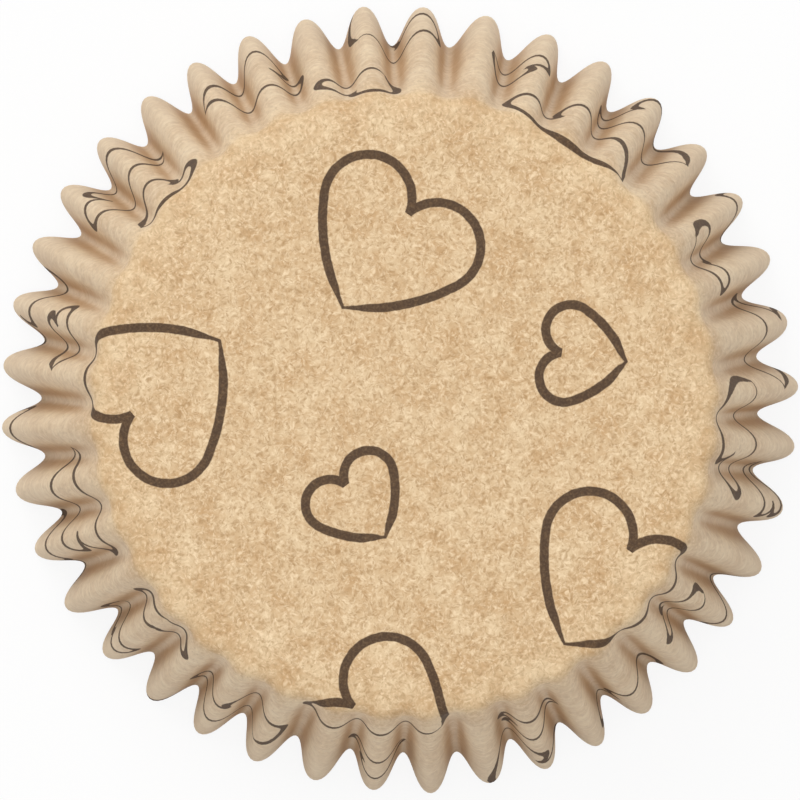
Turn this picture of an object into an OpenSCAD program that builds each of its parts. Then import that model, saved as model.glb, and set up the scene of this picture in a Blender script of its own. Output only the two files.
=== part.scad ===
// Pleated paper cupcake liner, standing mouth down on its cut edge with its round base on top.
// One flat disc of paper is pressed into a flat base and a leaning wall. Every ring of the disc
// keeps its own length, so the wall folds into pleats that take up the paper left over.

/* [Base] */
// Diameter of the flat round base, inside its bend
base_d = 49; // [36:0.5:80]
// Radius of the bend from the base into the wall
bend_r = 0.5; // [0.4:0.1:3]

/* [Wall] */
// Width of the wall along the paper, from the flat base to the cut edge
wall_len = 31.5; // [16:0.5:50]
// Lean of the wall outwards from upright, in degrees
wall_lean = 15.25; // [6:0.25:25]
// Thickness of the paper
paper_t = 0.08; // [0.05:0.01:0.2]

/* [Pleats] */
// Number of pleats round the wall
pleats = 40; // [24:1:56]
// How much rounder the outer crests are than the inner valleys, where 0 is a plain wave
crest_fullness = 0.19; // [0:0.01:0.5]
// How much steeper the sides of the pleats are than a plain wave's, with broader folds
side_steepness = 0.13; // [0:0.01:0.3]
// How far the pleats lean over to one side, as a share of their pitch
sway_share = 0.024; // [0:0.002:0.1]
// Angle of the first crest from the X axis, in degrees
first_crest_angle = 4; // [0:0.5:15]

/* [Hand-set shape] */
// How far the free edge is out of round, to each side of its mean radius
rim_oval = 0.29; // [0:0.01:1]
// How far the free edge has three soft corners, to each side of its mean radius
rim_three_sided = 0.14; // [0:0.01:0.6]
// Slow drift of the crests from even spacing over one turn, in degrees
drift_once_angle = 1.1; // [0:0.1:2]
// Slow drift of the crests from even spacing over half a turn, in degrees
drift_twice_angle = 1.1; // [0:0.1:2]
// Stray of single pleats from the slow drift, in degrees
stray_angle = 0.12; // [0:0.01:0.3]
// Share by which single pleats are deeper or shallower than their neighbours
scatter_share = 0.035; // [0:0.005:0.08]

/* [Hidden] */

base_r = base_d / 2;
pitch = 360 / pleats;
// The bend turns the paper from level to the lean of the wall
bend_turn = 90 - wall_lean;
bend_len = bend_r * bend_turn * PI / 180;

// Columns of points round one pleat, and rings of points down the wall
steps = 10;
columns = pleats * steps;
rings_in_bend = 2;
rings_in_wall = 4;
last_ring = rings_in_bend + rings_in_wall;
// The rings lie closer together near the bend, where the pleats grow fastest
ring_crowding_ratio = 1.5;

// Distance of each ring from the edge of the flat base, measured along the paper
function run(ring) =
    ring <= rings_in_bend
        ? bend_len * ring / rings_in_bend
        : bend_len + (wall_len - bend_len)
            * pow((ring - rings_in_bend) / rings_in_wall, ring_crowding_ratio);

// Radius of the wall halfway between its crests and valleys
function mean_r(s) =
    s <= bend_len
        ? base_r + bend_r * sin(s / bend_r * 180 / PI)
        : base_r + bend_r * sin(bend_turn) + (s - bend_len) * sin(wall_lean);

// Sideways place of a point, as a share of the pitch from its crest. It swells the crests, draws
// the sides of the pleats closer to upright and moves the valleys to one side.
function wave_place(phase) =
    phase + (crest_fullness * sin(360 * phase) + side_steepness / 2 * sin(720 * phase)) / (2 * PI)
        + sway_share * (1 - cos(360 * phase)) / 2;

// Length of one wave over its pitch. Depth is half the wave's height times 2 PI over the pitch.
arc_samples = 24;
function wave_stretch(depth) =
    let (parts = [for (n = [0 : arc_samples - 1])
        let (
            a = 360 * (n + 0.5) / arc_samples,
            sideways = 1 + crest_fullness * cos(a) + side_steepness * cos(2 * a)
                + sway_share * PI * sin(a))
        norm([sideways, depth * sin(a)])])
    (parts * [for (p = parts) 1]) / arc_samples;

// Depth at which a wave is as long as the paper there, found by halving a span
deepest_ratio = 8;
halvings = 24;
function depth_for(stretch, low = 0, high = deepest_ratio, left = halvings) =
    let (mid = (low + high) / 2)
    left <= 0 ? mid
        : wave_stretch(mid) < stretch ? depth_for(stretch, mid, high, left - 1)
        : depth_for(stretch, low, mid, left - 1);

// Half the height of the pleats on each ring. A ring's paper is a circle of base_r + run.
half_depth = [for (ring = [0 : last_ring])
    let (s = run(ring), r = mean_r(s), spare = (base_r + s) / r)
    ring == 0 ? 0 : depth_for(spare) * r / pleats];

// A pressed liner springs open unevenly, so slow waves round it give each pleat its own place and
// depth. These are the directions in which they peak, in degrees.
once_peak_angle = 148;
twice_peak_angle = 71;
rim_oval_angle = -27.5;
rim_corner_angle = 55.5;
// Waves that fall in and out of step, each as its number of turns and its start
stray_waves = [[4, 64], [6, 299], [11, 227], [12, 237]];
depth_waves = [[12, 137], [20, 163], [24, 86]];
function in_step(waves, a) = [for (w = waves) sin(w[0] * a + w[1])] * [for (w = waves) 1];
function drift(a) =
    drift_once_angle * cos(a - once_peak_angle)
        + drift_twice_angle * cos(2 * (a - twice_peak_angle))
        + stray_angle * in_step(stray_waves, a);
function out_of_round(a, share) =
    share * (rim_oval * cos(2 * (a - rim_oval_angle))
        + rim_three_sided * cos(3 * (a - rim_corner_angle)));
function scatter(a) = 1 + scatter_share * in_step(depth_waves, a);

// Angle of a column round the liner
function column_angle(column) =
    let (a = pitch * (floor(column / steps) + wave_place((column % steps) / steps)))
    first_crest_angle + a + drift(a);

// Distance of a point of the paper's middle layer from the axis
function middle_r(column, ring) =
    let (a = pitch * column / steps, s = run(ring))
    mean_r(s) + out_of_round(a, s / wall_len)
        + half_depth[ring] * scatter(a) * cos(360 * column / steps);

// Depth of a point of the paper's middle layer below the base. A strip of paper keeps its length
// from ring to ring, so what it gains outwards it loses downwards.
function drop(column, ring) =
    ring == 0 ? 0
        : let (
            along = run(ring) - run(ring - 1),
            out = middle_r(column, ring) - middle_r(column, ring - 1))
        drop(column, ring - 1) + sqrt(max(0, along * along - out * out));

function middle(column, ring) =
    let (a = column_angle(column), r = middle_r(column, ring))
    [r * cos(a), r * sin(a), -drop(column, ring)];

// Points of the middle layer, ring by ring, and the way out of the paper at each of them
sheet = [for (ring = [0 : last_ring]) [for (column = [0 : columns - 1]) middle(column, ring)]];
function unit(v) = v / norm(v);
function outward(column, ring) =
    let (
        before = sheet[ring][(column + columns - 1) % columns],
        after = sheet[ring][(column + 1) % columns],
        above = sheet[max(0, ring - 1)][column],
        below = sheet[min(last_ring, ring + 1)][column])
    unit(cross(below - above, after - before));

// The flat base lies level up to its edge, so the paper there faces straight up
function face_way(column, ring) = ring == 0 ? [0, 0, 1] : outward(column, ring);

// One face of the paper, half its thickness to the outer or the inner side of the middle layer
function paper_face(side) = [for (ring = [0 : last_ring]) each [for (column = [0 : columns - 1])
    sheet[ring][column] + side * paper_t / 2 * face_way(column, ring)]];

outer = paper_face(1);
inner = paper_face(-1);
// The lowest point of the cut edge rests on the surface that the liner stands on
height = -min([for (p = concat(outer, inner)) p[2]]);

// Number of a point on the outer face, and of the same point on the inner face
function on_outer(column, ring) = ring * columns + column % columns;
function on_inner(column, ring) = len(outer) + on_outer(column, ring);
outer_centre = len(outer) + len(inner);
inner_centre = outer_centre + 1;

module liner() {
    color([0.82, 0.68, 0.51])
        translate([0, 0, height])
            polyhedron(
                points = concat(outer, inner, [[0, 0, paper_t / 2], [0, 0, -paper_t / 2]]),
                faces = concat(
                    // Flat base
                    [for (c = [0 : columns - 1])
                        [outer_centre, on_outer(c + 1, 0), on_outer(c, 0)]],
                    [for (c = [0 : columns - 1])
                        [inner_centre, on_inner(c, 0), on_inner(c + 1, 0)]],
                    // Bend and pleated wall
                    [for (c = [0 : columns - 1], ring = [0 : last_ring - 1]) each [
                        [on_outer(c, ring), on_outer(c + 1, ring), on_outer(c + 1, ring + 1)],
                        [on_outer(c, ring), on_outer(c + 1, ring + 1), on_outer(c, ring + 1)],
                        [on_inner(c, ring), on_inner(c + 1, ring + 1), on_inner(c + 1, ring)],
                        [on_inner(c, ring), on_inner(c, ring + 1), on_inner(c + 1, ring + 1)]]],
                    // Cut edge
                    [for (c = [0 : columns - 1]) each [
                        [on_outer(c, last_ring), on_outer(c + 1, last_ring),
                            on_inner(c + 1, last_ring)],
                        [on_outer(c, last_ring), on_inner(c + 1, last_ring),
                            on_inner(c, last_ring)]]]));
}

liner();
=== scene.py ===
"""Looks of the pleated paper cupcake liner, seen from straight above its base."""

import math

import bpy
import numpy as np
from mathutils import Matrix, Vector


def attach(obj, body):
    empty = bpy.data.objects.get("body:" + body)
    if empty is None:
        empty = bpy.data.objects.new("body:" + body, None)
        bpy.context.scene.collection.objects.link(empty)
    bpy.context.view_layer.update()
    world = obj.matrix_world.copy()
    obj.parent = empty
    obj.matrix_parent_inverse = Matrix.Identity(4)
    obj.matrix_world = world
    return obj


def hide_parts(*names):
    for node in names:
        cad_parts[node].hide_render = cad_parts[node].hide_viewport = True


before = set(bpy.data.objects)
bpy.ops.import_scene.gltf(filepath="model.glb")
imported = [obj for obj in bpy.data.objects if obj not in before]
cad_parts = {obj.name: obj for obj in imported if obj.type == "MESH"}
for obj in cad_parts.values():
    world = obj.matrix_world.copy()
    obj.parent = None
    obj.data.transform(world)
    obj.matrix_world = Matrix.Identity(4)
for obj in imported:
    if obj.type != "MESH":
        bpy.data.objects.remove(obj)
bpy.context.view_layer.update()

MM = 0.001

# Sizes of the liner in metres, and its shape. The wall lies on the cone of the solid's
# wall, and the bend starts a little sooner than the solid's and is rounder.
BASE_RADIUS = 23.91 * MM
BEND_RADIUS = 1.2 * MM
WALL_WIDTH = 32.09 * MM
WALL_LEAN = math.radians(15.25)
PAPER_THICKNESS = 0.08 * MM
PLEATS = 40
CREST_FULLNESS = 0.19
SIDE_STEEPNESS = 0.13
SWAY = 0.024
FIRST_CREST = math.radians(4)
RIM_OVAL = 0.29 * MM
RIM_THREE_SIDED = 0.14 * MM
DRIFT_ONCE = math.radians(1.1)
DRIFT_TWICE = math.radians(1.1)
STRAY = math.radians(0.12)
PLEAT_SCATTER = 0.035
# The strip of the base that starts to curve before the bend, and how far it sinks
SOFT_EDGE = 2.7 * MM
EDGE_SAG = 0.16 * MM
# Directions in which the slow waves round the liner peak
DRIFT_ONCE_PEAK = math.radians(148)
DRIFT_TWICE_PEAK = math.radians(71)
RIM_OVAL_PEAK = math.radians(-27.5)
RIM_CORNER_PEAK = math.radians(55.5)
# Waves that fall in and out of step, each as its number of turns and its start in degrees
STRAY_WAVES = ((4, 64), (6, 299), (11, 227), (12, 237))
DEPTH_WAVES = ((12, 137), (20, 163), (24, 86))
# The mesh. Its rings lie closer together towards the bend, by a power of their number.
STEPS_PER_PLEAT = 22
BASE_RINGS = 20
BEND_RINGS = 5
WALL_RINGS = 26
BASE_CROWDING = 0.6
WALL_CROWDING = 1.25
# The depth of a wave over its pitch, fitted to the spare length of its paper
DEPTH_FIT = 3.74
DEPTH_FIT_SQUARED = 2.86
# Points closer than this are one point
SAME_POINT = 0.0005 * MM

# Side of the square that holds the flat disc of paper in the "flat_sheet" map
SHEET_SIDE = 120 * MM


def add(tree, kind, *values, inputs=None, **settings):
    """Adds a node, applies its settings, and links or sets its inputs in order or by name."""
    node = tree.nodes.new(kind)
    for name, value in settings.items():
        setattr(node, name, value)
    usable = [socket for socket in node.inputs if socket.enabled]
    named = {socket.name: socket for socket in reversed(usable)}
    pairs = list(zip(usable, values))
    pairs += [(named[name], value) for name, value in (inputs or {}).items()]
    for socket, value in pairs:
        if isinstance(value, Number):
            value = value.socket
        if isinstance(value, bpy.types.NodeSocket):
            tree.links.new(value, socket)
        elif value is not None:
            socket.default_value = value
    return node


def out(node, number=0):
    """The given output of a node, among those in use."""
    return [socket for socket in node.outputs if socket.enabled][number]


class Number:
    """A number carried by a node tree, so that formulas can be written as they are read."""

    def __init__(self, tree, socket):
        self.tree = tree
        self.socket = socket

    def math(self, operation, *others):
        node = add(self.tree, "ShaderNodeMath", self, *others, operation=operation)
        return Number(self.tree, out(node))

    def __add__(self, other):
        return self.math("ADD", other)

    def __sub__(self, other):
        return self.math("SUBTRACT", other)

    def __rsub__(self, other):
        return (self * -1) + other

    def __mul__(self, other):
        return self.math("MULTIPLY", other)

    def __truediv__(self, other):
        return self.math("DIVIDE", other)

    def __pow__(self, other):
        return self.math("POWER", other)

    __radd__ = __add__
    __rmul__ = __mul__

    def between(self, low, high):
        return self.math("MAXIMUM", low).math("MINIMUM", high)

    def step(self, start, end):
        """0 before start and 1 after end, with a soft change between them."""
        node = add(self.tree, "ShaderNodeMapRange", self, start, end, 0.0, 1.0,
                   interpolation_type="SMOOTHSTEP")
        return Number(self.tree, out(node))


def linear(hex_colour):
    """An sRGB hex colour as linear red, green, blue and alpha."""
    parts = [int(hex_colour[i:i + 2], 16) / 255 for i in (1, 3, 5)]
    return [c / 12.92 if c <= 0.04045 else ((c + 0.055) / 1.055) ** 2.4 for c in parts] + [1.0]


def pressed_liner_tree():
    """Geometry Nodes for a flat disc of paper pressed into a base and a pleated wall."""
    tree = bpy.data.node_groups.new("Pressed liner", "GeometryNodeTree")
    tree.interface.new_socket("Liner", in_out="OUTPUT", socket_type="NodeSocketGeometry")
    kinds = {"f": "NodeSocketFloat", "i": "NodeSocketInt", "m": "NodeSocketMaterial"}
    wanted = [
        ("Pleats", "i"), ("Steps per Pleat", "i"), ("Base Rings", "i"), ("Bend Rings", "i"),
        ("Wall Rings", "i"), ("Base Radius", "f"), ("Bend Radius", "f"), ("Wall Width", "f"),
        ("Wall Lean", "f"), ("Paper Thickness", "f"), ("Crest Fullness", "f"),
        ("Side Steepness", "f"), ("Sway", "f"), ("First Crest", "f"), ("Rim Oval", "f"),
        ("Rim Three Sided", "f"), ("Drift Once", "f"), ("Drift Twice", "f"), ("Stray", "f"),
        ("Pleat Scatter", "f"), ("Soft Edge", "f"), ("Edge Sag", "f"), ("Outer Paper", "m"),
        ("Inner Paper", "m")]
    for name, kind in wanted:
        tree.interface.new_socket(name, in_out="INPUT", socket_type=kinds[kind])
    group = add(tree, "NodeGroupInput")
    given = {name: Number(tree, group.outputs[name]) for name, _ in wanted}

    def field(kind, *values, number=0, inputs=None, **settings):
        return Number(tree, out(add(tree, kind, *values, inputs=inputs, **settings), number))

    def vector(x, y, z):
        return field("ShaderNodeCombineXYZ", x, y, z)

    def at_index(value, index, data_type="FLOAT"):
        return field("GeometryNodeFieldAtIndex", inputs={"Value": value, "Index": index},
                     data_type=data_type, domain="POINT")

    turn = 2 * math.pi
    pleats, steps = given["Pleats"], given["Steps per Pleat"]
    columns = pleats * steps
    rings = given["Base Rings"] + given["Bend Rings"] + given["Wall Rings"] + 1
    index = field("GeometryNodeInputIndex")

    # The sheet is a grid of columns round the liner and rings from its middle to its cut edge
    sheet = add(tree, "GeometryNodeMeshGrid", 1.0, 1.0, columns + 1, rings)
    column = (index / rings).math("FLOOR")
    ring = index - column * rings
    in_base = (ring / given["Base Rings"]).between(0.0, 1.0) ** BASE_CROWDING
    in_bend = ((ring - given["Base Rings"]) / given["Bend Rings"]).between(0.0, 1.0)
    in_wall = ((ring - given["Base Rings"] - given["Bend Rings"])
               / given["Wall Rings"]).between(0.0, 1.0)

    # Distance along the paper, and radius of the wall halfway between its crests and valleys
    bend_turn = math.pi / 2 - given["Wall Lean"]
    bend_len = given["Bend Radius"] * bend_turn
    straight = (given["Wall Width"] - bend_len) * in_wall ** WALL_CROWDING
    run = bend_len * in_bend + straight
    flat_radius = given["Base Radius"] * in_base + run
    mean_radius = (given["Base Radius"] * in_base
                   + given["Bend Radius"] * (bend_turn * in_bend).math("SINE")
                   + straight * given["Wall Lean"].math("SINE"))

    # Each ring keeps its length, so the pleats are as deep as the spare paper makes them
    spare = (flat_radius / mean_radius - 1).math("MAXIMUM", 0.0)
    depth = (DEPTH_FIT * spare + DEPTH_FIT_SQUARED * spare * spare).math("SQRT")
    half_depth = depth * mean_radius / pleats

    # Angle of a column. The crests are swollen, the sides of the pleats are steep, the valleys
    # lie a little to one side, and the pleats drift and stray from even spacing.
    phase = column / steps * turn
    even = column / columns * turn
    angle = (phase + given["Crest Fullness"] * phase.math("SINE")
             + given["Side Steepness"] / 2 * (2 * phase).math("SINE")
             + given["Sway"] * math.pi * (1 - phase.math("COSINE"))) / pleats

    def in_step(waves, angle):
        return sum((angle * turns + math.radians(start)).math("SINE") for turns, start in waves)

    drift = (given["Drift Once"] * (angle - DRIFT_ONCE_PEAK).math("COSINE")
             + given["Drift Twice"] * (2 * (angle - DRIFT_TWICE_PEAK)).math("COSINE")
             + given["Stray"] * in_step(STRAY_WAVES, angle))
    angle = angle + drift + given["First Crest"]
    scatter = 1 + given["Pleat Scatter"] * in_step(DEPTH_WAVES, even)
    uneven = (given["Rim Oval"] * (2 * (even - RIM_OVAL_PEAK)).math("COSINE")
              + given["Rim Three Sided"] * (3 * (even - RIM_CORNER_PEAK)).math("COSINE"))
    radius = (mean_radius + uneven * run / given["Wall Width"]
              + half_depth * scatter * phase.math("COSINE"))

    # A strip of paper keeps its length too, so what it gains outwards it loses downwards. The
    # base sinks a little towards its edge.
    past_first = ring.math("GREATER_THAN", 0.5)
    along = flat_radius - at_index(flat_radius, index - 1)
    gained = radius - at_index(radius, index - 1)
    lost = (along * along - gained * gained).math("MAXIMUM", 0.0).math("SQRT") * past_first
    drop = field("GeometryNodeAccumulateField", inputs={"Value": lost, "Group ID": column})
    near_edge = (flat_radius - given["Base Radius"]) / given["Soft Edge"] + 1
    drop = drop + given["Edge Sag"] * near_edge.between(0.0, 1.0) ** 3.0
    place = vector(radius * angle.math("COSINE"), radius * angle.math("SINE"), drop * -1)
    sheet = add(tree, "GeometryNodeSetPosition", out(sheet), inputs={"Position": place})

    # Where each point lay on the flat disc: its share of the length round its ring
    position = field("GeometryNodeInputPosition")
    after = (column + 1).math("FLOORED_MODULO", columns) * rings + ring
    before = (column - 1).math("FLOORED_MODULO", columns) * rings + ring
    next_place = at_index(position, after, "FLOAT_VECTOR")
    last_place = at_index(position, before, "FLOAT_VECTOR")
    width = field("ShaderNodeVectorMath", next_place, position, operation="DISTANCE")
    width = width * (columns - 0.5).math("GREATER_THAN", column)
    around = add(tree, "GeometryNodeAccumulateField", inputs={"Value": width, "Group ID": ring})
    share = Number(tree, out(around, 1)) / Number(tree, out(around, 2))
    start = at_index(angle, 0)
    flat_angle = start + share * turn
    flat = vector(flat_radius * flat_angle.math("COSINE"),
                  flat_radius * flat_angle.math("SINE"), 0.0)

    # The way out of the paper, taken as straight up all over the base
    above = at_index(position, index - 1, "FLOAT_VECTOR")
    last_ring = ring.math("GREATER_THAN", rings - 1.5)
    below = at_index(position, index + 1 - last_ring, "FLOAT_VECTOR")
    down = field("ShaderNodeVectorMath", below, above, operation="SUBTRACT")
    across = field("ShaderNodeVectorMath", next_place, last_place, operation="SUBTRACT")
    out_way = field("ShaderNodeVectorMath", down, across, operation="CROSS_PRODUCT")
    out_way = field("ShaderNodeVectorMath", out_way, operation="NORMALIZE")
    in_wall_or_bend = ring.math("GREATER_THAN", given["Base Rings"] + 0.5)
    out_way = field("GeometryNodeSwitch", in_wall_or_bend, (0.0, 0.0, 1.0), out_way,
                    input_type="VECTOR")

    # The paper is a second grid, with every ring twice: down its outer face, round the cut
    # edge and back along its inner face
    rows = rings * 2
    cup = add(tree, "GeometryNodeMeshGrid", 1.0, 1.0, columns + 1, rows)
    cup_column = (index / rows).math("FLOOR")
    row = index - cup_column * rows
    inner = row.math("GREATER_THAN", rings - 0.5)
    cup_ring = row + inner * (rows - 1 - 2 * row)
    source = cup_column * rings + cup_ring

    def from_sheet(value):
        return field("GeometryNodeSampleIndex", out(sheet), data_type="FLOAT_VECTOR",
                     domain="POINT", inputs={"Value": value, "Index": source})

    offset = field("ShaderNodeVectorMath", from_sheet(out_way), operation="SCALE",
                   inputs={"Scale": (0.5 - inner) * given["Paper Thickness"]})
    cup_place = field("ShaderNodeVectorMath", from_sheet(position), offset, operation="ADD")
    stored = add(tree, "GeometryNodeStoreNamedAttribute", out(cup), data_type="FLOAT_VECTOR",
                 domain="POINT", inputs={"Name": "flat_place", "Value": from_sheet(flat)})
    # 0 on the crest of a pleat and 1 along the bottom of a valley
    valley = 0.5 - 0.5 * (cup_column / steps * turn).math("COSINE")
    for name, value in (("inner_face", inner), ("row", row), ("valley", valley)):
        stored = add(tree, "GeometryNodeStoreNamedAttribute", out(stored), data_type="FLOAT",
                     domain="POINT", inputs={"Name": name, "Value": value})
    cup = add(tree, "GeometryNodeSetPosition", out(stored), inputs={"Position": cup_place})
    cup = add(tree, "GeometryNodeMergeByDistance", out(cup), inputs={"Distance": SAME_POINT})
    # The grid's faces look into the paper, so they are turned to look out of it
    cup = add(tree, "GeometryNodeFlipFaces", out(cup))

    # The lowest point of the cut edge rests on the floor
    height = field("ShaderNodeSeparateXYZ", position, number=2)
    lowest = field("GeometryNodeAttributeStatistic", out(cup), number=3,
                   inputs={"Attribute": height}, data_type="FLOAT", domain="POINT")
    cup = add(tree, "GeometryNodeSetPosition", out(cup),
              inputs={"Offset": vector(0.0, 0.0, lowest * -1)})

    # Round shading everywhere but along the two sides of the cut edge
    row_here = field("GeometryNodeInputNamedAttribute", inputs={"Name": "row"},
                     data_type="FLOAT")
    from_edge = (row_here - rings + 0.5).math("ABSOLUTE")
    at_cut = (from_edge - 0.5).math("ABSOLUTE").math("LESS_THAN", 0.1)
    cup = add(tree, "GeometryNodeSetShadeSmooth", out(cup), inputs={"Shade Smooth": True},
              domain="FACE")
    cup = add(tree, "GeometryNodeSetShadeSmooth", out(cup), domain="EDGE",
              inputs={"Selection": at_cut, "Shade Smooth": False})

    flat_here = field("GeometryNodeInputNamedAttribute", inputs={"Name": "flat_place"},
                      data_type="FLOAT_VECTOR")
    to_map = field("ShaderNodeVectorMath", flat_here, (1 / SHEET_SIDE,) * 3, (0.5,) * 3,
                   operation="MULTIPLY_ADD")
    cup = add(tree, "GeometryNodeStoreNamedAttribute", out(cup), data_type="FLOAT2",
              domain="CORNER", inputs={"Name": "flat_sheet", "Value": to_map})
    inner_here = field("GeometryNodeInputNamedAttribute", inputs={"Name": "inner_face"},
                       data_type="FLOAT")
    cup = add(tree, "GeometryNodeRealizeInstances", out(cup))
    cup = add(tree, "GeometryNodeSetMaterial", out(cup),
              inputs={"Material": given["Inner Paper"]})
    cup = add(tree, "GeometryNodeSetMaterial", out(cup),
              inputs={"Selection": inner_here.math("LESS_THAN", 0.1),
                      "Material": given["Outer Paper"]})
    add(tree, "NodeGroupOutput", out(cup))
    return tree


def make_liner(outer_paper, inner_paper):
    """The liner as a plain mesh, pressed from its sizes by Geometry Nodes."""
    tree = pressed_liner_tree()
    liner = bpy.data.objects.new("paper_liner", bpy.data.meshes.new("paper_liner"))
    bpy.context.scene.collection.objects.link(liner)
    modifier = liner.modifiers.new("Pressed liner", "NODES")
    modifier.node_group = tree
    values = {
        "Pleats": PLEATS, "Steps per Pleat": STEPS_PER_PLEAT, "Base Rings": BASE_RINGS,
        "Bend Rings": BEND_RINGS, "Wall Rings": WALL_RINGS,
        "Base Radius": BASE_RADIUS, "Bend Radius": BEND_RADIUS, "Wall Width": WALL_WIDTH,
        "Wall Lean": WALL_LEAN, "Paper Thickness": PAPER_THICKNESS,
        "Crest Fullness": CREST_FULLNESS, "Side Steepness": SIDE_STEEPNESS, "Sway": SWAY,
        "First Crest": FIRST_CREST, "Rim Oval": RIM_OVAL, "Rim Three Sided": RIM_THREE_SIDED,
        "Drift Once": DRIFT_ONCE, "Drift Twice": DRIFT_TWICE, "Stray": STRAY,
        "Pleat Scatter": PLEAT_SCATTER, "Soft Edge": SOFT_EDGE, "Edge Sag": EDGE_SAG,
        "Outer Paper": outer_paper, "Inner Paper": inner_paper}
    for item in tree.interface.items_tree:
        if item.in_out == "INPUT":
            modifier[item.identifier] = values[item.name]
    depsgraph = bpy.context.evaluated_depsgraph_get()
    mesh = bpy.data.meshes.new_from_object(liner.evaluated_get(depsgraph),
                                           preserve_all_data_layers=True, depsgraph=depsgraph)
    # The first slot is empty and has no faces
    mesh.materials.pop(index=0)
    liner.modifiers.clear()
    liner.data = mesh
    return liner


# The print. The hearts lie on a slanted grid over the flat sheet, one large and one small in each
# cell. Places are in millimetres from the middle of the sheet, turns in degrees.
LARGE_HEART = 9.8
SMALL_HEART = 5.6
CELL_STEP_A = (-17.8, -11.3)
CELL_STEP_B = (17.3, -26.9)
FIRST_LARGE = (-1.4, 12.5)
FIRST_SMALL = (14.4, 3.7)
# For the heart in each cell, by its steps along A and B: its turn, and how far it lies from the
# grid to the right and up, because the hearts were placed by eye
LARGE_HEARTS = {
    (0, 0): (325, -0.3, 0), (1, 0): (130, 0.1, 0.4), (0, 1): (325, 0.1, 0),
    (1, 1): (52, 0.5, -0.5), (-1, 0): (15, 0.4, 0.3), (-2, 0): (15, 0, -1),
    (2, 0): (190, 0.9, 0.2), (3, 0): (255, 0, 0), (-1, 1): (140, 0.9, 1), (-2, 1): (345, 0, -1),
    (2, 1): (5, -1.5, -1.5), (3, 1): (52, -0.7, -0.85), (0, -1): (300, 1, -1),
    (1, -1): (125, 2.5, 1), (-1, -1): (325, 0.5, -1), (2, -1): (200, 0, 0),
    (0, 2): (90, 0, 0), (1, 2): (320, 0, 0), (-1, 2): (150, 0, 0)}
SMALL_HEARTS = {
    (0, 0): (82, 0.1, 0.3), (1, 0): (37, -0.1, -0.3), (-1, 0): (260, -0.5, 0.5),
    (-2, 0): (28, 0.4, 0.2), (2, 0): (128, -1.6, -1), (3, 0): (160, -0.5, 1.5),
    (0, 1): (105, 0, 0), (1, 1): (110, 0, -1), (-1, 1): (170, 0.5, 0), (2, 1): (105, -0.5, 0),
    (0, -1): (145, 0, -0.5), (1, -1): (347, -0.8, -0.8), (-1, -1): (220, 0, -0.5),
    (2, -1): (5, 0.5, -0.5), (3, -1): (5, 0, 0)}


def place_hearts(liner):
    """Gives each face the frame of its nearest heart, as a map in heart lengths."""
    mesh = liner.data
    hearts = []
    for length, first, cells in ((LARGE_HEART, FIRST_LARGE, LARGE_HEARTS),
                                 (SMALL_HEART, FIRST_SMALL, SMALL_HEARTS)):
        for (a, b), (turn, right, up) in cells.items():
            x, y = np.array(first) + a * np.array(CELL_STEP_A) + b * np.array(CELL_STEP_B)
            hearts.append((x + right, y + up, math.radians(turn), length))
    hearts = np.array(hearts)

    loops = len(mesh.loops)
    flat = np.empty(loops * 2)
    mesh.uv_layers["flat_sheet"].uv.foreach_get("vector", flat)
    flat = (flat.reshape(-1, 2) - 0.5) * SHEET_SIDE / MM
    counts = np.empty(len(mesh.polygons), int)
    mesh.polygons.foreach_get("loop_total", counts)
    starts = np.concatenate([[0], np.cumsum(counts)[:-1]])
    middles = np.add.reduceat(flat, starts, axis=0) / counts[:, None]
    away = np.linalg.norm(middles[:, None] - hearts[None, :, :2], axis=2) / hearts[None, :, 3]
    nearest = np.argmin(away, axis=1)
    own = hearts[np.repeat(nearest, counts)]
    local = flat - own[:, :2]
    cosine, sine = np.cos(own[:, 2]), np.sin(own[:, 2])
    turned = np.stack([local[:, 0] * cosine + local[:, 1] * sine,
                       local[:, 1] * cosine - local[:, 0] * sine], axis=1)
    mesh.uv_layers.new(name="heart").uv.foreach_set(
        "vector", (turned / own[:, 3:4]).ravel().astype(np.float32))
    lengths = mesh.attributes.new("heart_length", "FLOAT", "FACE")
    lengths.data.foreach_set("value", hearts[nearest, 3].astype(np.float32))
    mesh.uv_layers.active = mesh.uv_layers["flat_sheet"]


# Outline of a heart, in its own lengths: the arc round each lobe, the long arc to the tip, the tip,
# and the height above which only the arc of the lobe counts
LOBE_MIDDLE = (0.342, 0.27)
LOBE_RADIUS = 0.358
LONG_ARC_MIDDLE = (-0.791, 0.854)
LONG_ARC_RADIUS = 1.633
TIP_HEIGHT = -0.575
CLEFT_HEIGHT = 0.35
# Stroke of the pen in millimetres: half its width at the tip, what it gains from there and over
# which share of the heart, how far it wavers, and how soft its edges are
HALF_STROKE_AT_TIP = 0.13
HALF_STROKE_GAIN = 0.24
TIP_SHARE = 0.16
STROKE_WAVER = 0.12
STROKE_BLUR = 0.05

# Colours of the paper and its ink
PULP_DARK, PULP_PALE = "#c69e6d", "#e7cca3"
FIBRE_DARK, FIBRE_PALE = "#a47c49", "#fbe1ba"
# The grey is partly pressed paper and partly a painted sheen; the brown is painted shade in the
# valleys
PRESSED_GREY_AND_SHEEN, RIPPLE_PALE, VALLEY_SHADE_BROWN = "#dcc8ad", "#efdcbc", "#a06a27"
INK_DARK, INK_WORN = "#503b29", "#7d5e3c"
PAPER_ROUGHNESS, INK_ROUGHNESS = 0.55, 0.85
# The flecks lie in layers that are turned from each other. Their size across, along and through
# the paper, and how far they curl, are in millimetres.
FLECK_LAYERS = 6
FLECK_SIZE = (0.28, 0.44, 1.0)
FLECK_CURL = 0.7
# Radii on the flat sheet in millimetres, from where a change starts to where it is whole: fainter
# flecks, pressed paper, painted shade in the valleys, and a greyer strip along the cut edge that is
# partly painted sheen
FAINT_ZONE = (21.5, 26.0)
PRESSED_ZONE = (22.8, 31.0)
VALLEY_SHADE_ZONE = (25.0, 36.0)
CUT_EDGE_ZONE = (38.0, 56.0)
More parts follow.
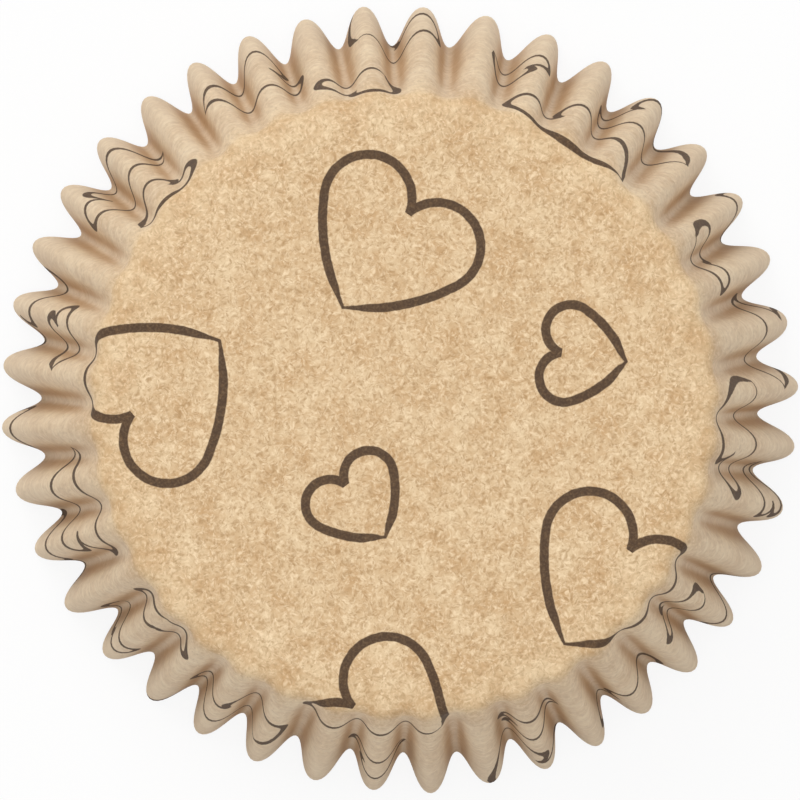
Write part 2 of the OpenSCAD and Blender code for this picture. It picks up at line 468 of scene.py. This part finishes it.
# Pressing draws the pulp out from the end of the bend, so that this share of it fills the wall
BEND_END = 25.4
DRAWN_SHARE = 0.4


def kraft_paper(name, printed):
    """Unbleached greaseproof paper: felted pale fibres over warm brown pulp, half matt, with
    painted shade in its valleys and a partly painted sheen on its wall.
    """
    material = bpy.data.materials.new(name)
    material.use_nodes = True
    tree = material.node_tree
    tree.nodes.clear()

    def value(kind, *values, number=0, inputs=None, **settings):
        return Number(tree, out(add(tree, kind, *values, inputs=inputs, **settings), number))

    def noise(vector, per_mm, detail=2.0, roughness=0.5):
        return value("ShaderNodeTexNoise", vector, inputs={
            "Scale": per_mm, "Detail": detail, "Roughness": roughness})

    def mix(share, first, second):
        return out(add(tree, "ShaderNodeMix", share, first, second, data_type="RGBA"))

    # Place on the flat sheet in millimetres from its middle
    side = SHEET_SIDE / MM
    sheet = value("ShaderNodeUVMap", uv_map="flat_sheet")
    sheet = value("ShaderNodeVectorMath", sheet, (side, side, 0.0), (-side / 2, -side / 2, 0.0),
                  operation="MULTIPLY_ADD")
    flat_radius = value("ShaderNodeVectorMath", sheet, operation="LENGTH")

    # Pressing draws the pulp and the fibres out down the wall
    drawn_radius = (flat_radius.math("MINIMUM", BEND_END)
                    + (flat_radius - BEND_END).math("MAXIMUM", 0.0) * DRAWN_SHARE)
    pulp = value("ShaderNodeVectorMath", sheet, operation="SCALE",
                 inputs={"Scale": drawn_radius / flat_radius})

    # Pulp: warm brown mottles from half a millimetre to several across
    mottle = noise(pulp, 0.3, detail=4.0, roughness=0.75)
    colour = mix(mottle.step(0.25, 0.75), linear(PULP_DARK), linear(PULP_PALE))

    # Felted fibres: short flecks laid every way and a little curled. The pale ones lie on top and
    # the dark ones are the gaps between them.
    curl = value("ShaderNodeTexNoise", pulp, number=1, inputs={"Scale": 1.1, "Detail": 1.0})
    curled = value("ShaderNodeVectorMath", curl, (FLECK_CURL,) * 3, pulp,
                   operation="MULTIPLY_ADD")
    flecks = []
    for layer in range(FLECK_LAYERS):
        laid = value("ShaderNodeMapping", curled, vector_type="TEXTURE", inputs={
            "Location": (7.0 * layer, 3.0 * layer, 0.0),
            "Rotation": (0.0, 0.0, math.radians(30 * layer + 10)), "Scale": FLECK_SIZE})
        flecks.append(noise(laid, 1.0, roughness=0.55))
    pale = flecks[0].math("MAXIMUM", flecks[2]).math("MAXIMUM", flecks[4])
    dark = flecks[1].math("MINIMUM", flecks[3]).math("MINIMUM", flecks[5])
    clear = 1 - 0.4 * flat_radius.step(*FAINT_ZONE)
    colour = mix(pale.step(0.5, 0.78) * clear * 0.76, colour, linear(FIBRE_PALE))
    colour = mix((1 - dark).step(0.5, 0.78) * clear * 0.69, colour, linear(FIBRE_DARK))
    fibres = pale + dark - 0.5

    # The press turns the wall a little greyer, more so towards the cut edge; this grey is partly
    # the pressed paper and partly a painted sheen, the pale room seen on the wall at a slant. The
    # press also ruffles the wall into fine ripples along its rings
    pressed = flat_radius.step(*PRESSED_ZONE)
    grey_and_painted_sheen = pressed * 0.32 + flat_radius.step(*CUT_EDGE_ZONE) * 0.28
    colour = mix(grey_and_painted_sheen, colour, linear(PRESSED_GREY_AND_SHEEN))
    across_rings = value("ShaderNodeCombineXYZ", 0.0, 0.0, flat_radius * 1.6)
    ripple_place = value("ShaderNodeVectorMath", sheet, (0.45, 0.45, 0.0), across_rings,
                         operation="MULTIPLY_ADD")
    ripple = noise(ripple_place, 1.0, roughness=0.55)
    colour = mix(ripple.step(0.48, 0.7) * pressed * 0.35, colour, linear(RIPPLE_PALE))

    # Painted shade: the sides of the valleys get a deeper brown where shade falls between the
    # pleats, more so towards the cut edge
    valley = value("ShaderNodeAttribute", number=2, attribute_name="valley")
    painted_valley_shade = (valley.step(0.3, 0.8) * (1 - 0.6 * valley.step(0.85, 1.0))
               * flat_radius.step(*VALLEY_SHADE_ZONE))
    colour = mix(painted_valley_shade * 0.5, colour, linear(VALLEY_SHADE_BROWN))

    roughness = PAPER_ROUGHNESS
    if printed:
        # The outline of a heart is one arc round each lobe and one long arc to the tip
        local = value("ShaderNodeUVMap", uv_map="heart")
        split = add(tree, "ShaderNodeSeparateXYZ", local)
        x = Number(tree, out(split, 0)).math("ABSOLUTE")
        y = Number(tree, out(split, 1))
        length = value("ShaderNodeAttribute", number=2, attribute_name="heart_length")

        def from_arc(middle, radius):
            return ((x - middle[0]) ** 2.0 + (y - middle[1]) ** 2.0).math("SQRT") - radius

        lobe = from_arc(LOBE_MIDDLE, LOBE_RADIUS)
        long_arc = from_arc(LONG_ARC_MIDDLE, LONG_ARC_RADIUS)
        # The two arcs meet on the line through their centres, and the lobe reaches into the cleft
        line_across = LOBE_MIDDLE[0] - LONG_ARC_MIDDLE[0]
        line_down = LONG_ARC_MIDDLE[1] - LOBE_MIDDLE[1]
        above = ((x - LONG_ARC_MIDDLE[0]) * line_down
                 + (y - LONG_ARC_MIDDLE[1]) * line_across).math("GREATER_THAN", 0.0)
        above = above.math("MAXIMUM", y.math("GREATER_THAN", CLEFT_HEIGHT))
        outline = (long_arc + above * (lobe - long_arc)).math("ABSOLUTE") * length
        # Stroke of a felt pen: three quarters of a millimetre, thinner towards the tip
        waver = (noise(sheet, 1.4) - 0.5) * STROKE_WAVER
        half = HALF_STROKE_AT_TIP + HALF_STROKE_GAIN * (y - TIP_HEIGHT).step(0.0, TIP_SHARE)
        inked = 1 - (outline + waver - half).step(-STROKE_BLUR, STROKE_BLUR)
        grain = noise(sheet, 5.0, roughness=0.6)
        worn = 0.93 + 0.07 * grain.step(0.3, 0.6)
        ink = mix(pale.step(0.5, 0.85) * 0.5, linear(INK_DARK), linear(INK_WORN))
        colour = mix(inked * worn, colour, ink)
        roughness = PAPER_ROUGHNESS + inked * (INK_ROUGHNESS - PAPER_ROUGHNESS)

    height = fibres * 0.6 + mottle * 0.4 + ripple * pressed * 2.2
    bump = value("ShaderNodeBump", inputs={
        "Strength": 0.35, "Distance": 0.03 * MM, "Height": height})
    shader = add(tree, "ShaderNodeBsdfPrincipled", inputs={
        "Base Color": colour, "Roughness": roughness, "IOR": 1.47, "Normal": bump})
    add(tree, "ShaderNodeOutputMaterial", out(shader))
    return material


# How white the floor shows to the camera, and how strongly the pale room lights the liner
FLOOR_WHITE = 0.88
ROOM_LEVEL = 0.52
# Camera fitted to the photograph, in metres, with the length of its lens in millimetres
EYE_PLACE = (-2.75 * MM, 5.43 * MM, 326.2 * MM)
AIM_PLACE = (-0.13 * MM, -0.03 * MM, 0)
LENS_LENGTH = 166.2


def make_floor():
    """White paper floor that shows as white and keeps the soft shadow of the liner."""
    mesh = bpy.data.meshes.new("floor")
    reach = 3.0
    corners = [(-reach, -reach, 0), (reach, -reach, 0), (reach, reach, 0), (-reach, reach, 0)]
    mesh.from_pydata(corners, [], [(0, 1, 2, 3)])
    floor = bpy.data.objects.new("floor", mesh)
    bpy.context.scene.collection.objects.link(floor)
    material = bpy.data.materials.new("white_backdrop_paper")
    material.use_nodes = True
    tree = material.node_tree
    tree.nodes.clear()
    paper = add(tree, "ShaderNodeBsdfDiffuse", linear("#f4f4f4"))
    white = add(tree, "ShaderNodeEmission", (1.0, 1.0, 1.0, 1.0), 1.0)
    rays = add(tree, "ShaderNodeLightPath")
    seen = Number(tree, rays.outputs["Is Camera Ray"]) * FLOOR_WHITE
    mixed = add(tree, "ShaderNodeMixShader", seen, out(paper), out(white))
    add(tree, "ShaderNodeOutputMaterial", out(mixed))
    mesh.materials.append(material)


def make_lights():
    """A pale room, a wide panel overhead and a soft light from beyond the top of the picture."""
    world = bpy.data.worlds.new("soft_room")
    bpy.context.scene.world = world
    world.use_nodes = True
    tree = world.node_tree
    tree.nodes.clear()
    rays = add(tree, "ShaderNodeLightPath")
    room = add(tree, "ShaderNodeBackground", (1.0, 1.0, 1.0, 1.0), ROOM_LEVEL)
    white = add(tree, "ShaderNodeBackground", (1.0, 1.0, 1.0, 1.0), 1.0)
    mixed = add(tree, "ShaderNodeMixShader", rays.outputs["Is Camera Ray"], out(room),
                out(white))
    add(tree, "ShaderNodeOutputWorld", out(mixed))

    for name, side, energy, place in (("ceiling_panel", 1.0, 5.0, (0.0, 0.1, 1.2)),
                                      ("soft_window_light", 0.5, 2.4, (-0.24, 0.52, 0.62))):
        light = bpy.data.lights.new(name, "AREA")
        light.shape = "SQUARE"
        light.size = side
        light.energy = energy
        lamp = bpy.data.objects.new(name, light)
        bpy.context.scene.collection.objects.link(lamp)
        lamp.location = place
        lamp.rotation_euler = (-Vector(place)).to_track_quat("-Z", "Y").to_euler()


def make_camera():
    """Looks straight down from about a third of a metre, through a long lens."""
    camera = bpy.data.cameras.new("camera")
    camera.sensor_width = 36
    camera.lens = LENS_LENGTH
    camera.clip_start = 0.01
    eye = bpy.data.objects.new("camera", camera)
    bpy.context.scene.collection.objects.link(eye)
    eye.location = EYE_PLACE
    # The top of the picture is towards +Y
    ahead = (Vector(AIM_PLACE) - eye.location).normalized()
    right = ahead.cross((0, 1, 0)).normalized()
    axes = Matrix((right, right.cross(ahead), -ahead)).transposed()
    eye.rotation_euler = axes.to_euler()
    bpy.context.scene.camera = eye


outer_paper = kraft_paper("printed_kraft_paper", printed=True)
inner_paper = kraft_paper("plain_kraft_paper", printed=False)
liner = make_liner(outer_paper, inner_paper)
place_hearts(liner)
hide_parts("liner")
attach(liner, "root")
make_floor()
make_lights()
make_camera()
bpy.context.scene.view_settings.view_transform = "Standard"
